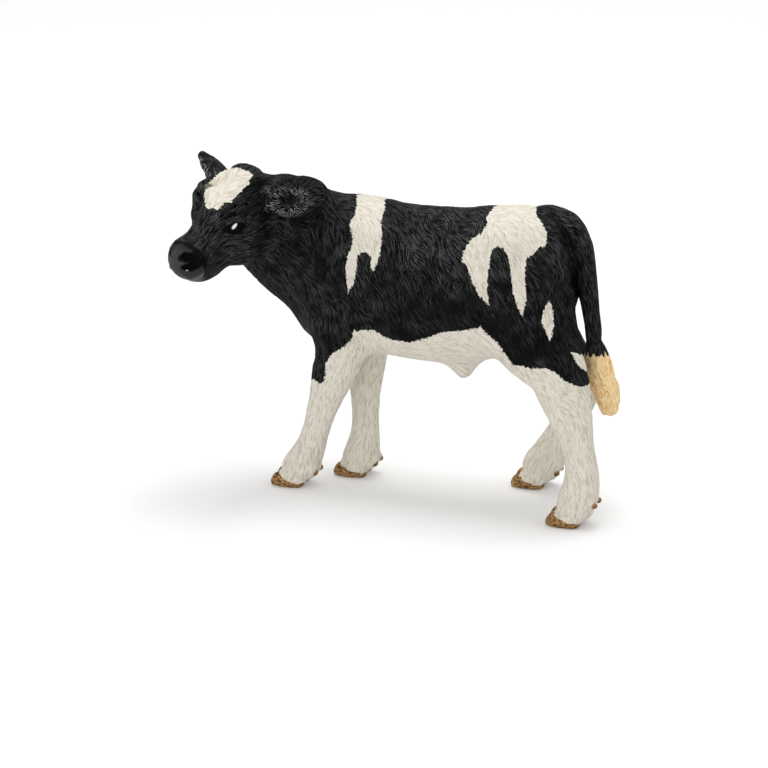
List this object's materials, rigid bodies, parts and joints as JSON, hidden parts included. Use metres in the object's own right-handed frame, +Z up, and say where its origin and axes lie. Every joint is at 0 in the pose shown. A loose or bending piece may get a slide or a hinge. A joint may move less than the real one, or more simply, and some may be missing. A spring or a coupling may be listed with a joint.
{
  "type": "toy farm animal figure",
  "caption": "Standing toy calf figure with a black-and-white coat, its head turned to its left, moulded in solid PVC",
  "frame": {"origin": "middle of the figure's outline, on the plane that its hooves stand on", "axes": "+Z up, the calf faces -X and its right side is +Y"},
  "size_m": [0.0822, 0.0364, 0.0629],
  "materials": {
    "black_pvc": "hand-painted black over engraved hair, matt",
    "white_pvc": "cream-white paint over engraved hair, matt"
  },
  "bodies": {
    "root": {"trunk": "black_pvc", "head": "black_pvc", "left_ear": "black_pvc", "right_ear": "black_pvc", "front_left_leg": "white_pvc", "front_right_leg": "white_pvc", "hind_left_leg": "white_pvc", "hind_right_leg": "white_pvc", "tail": "black_pvc"}
  },
  "joints": []
}
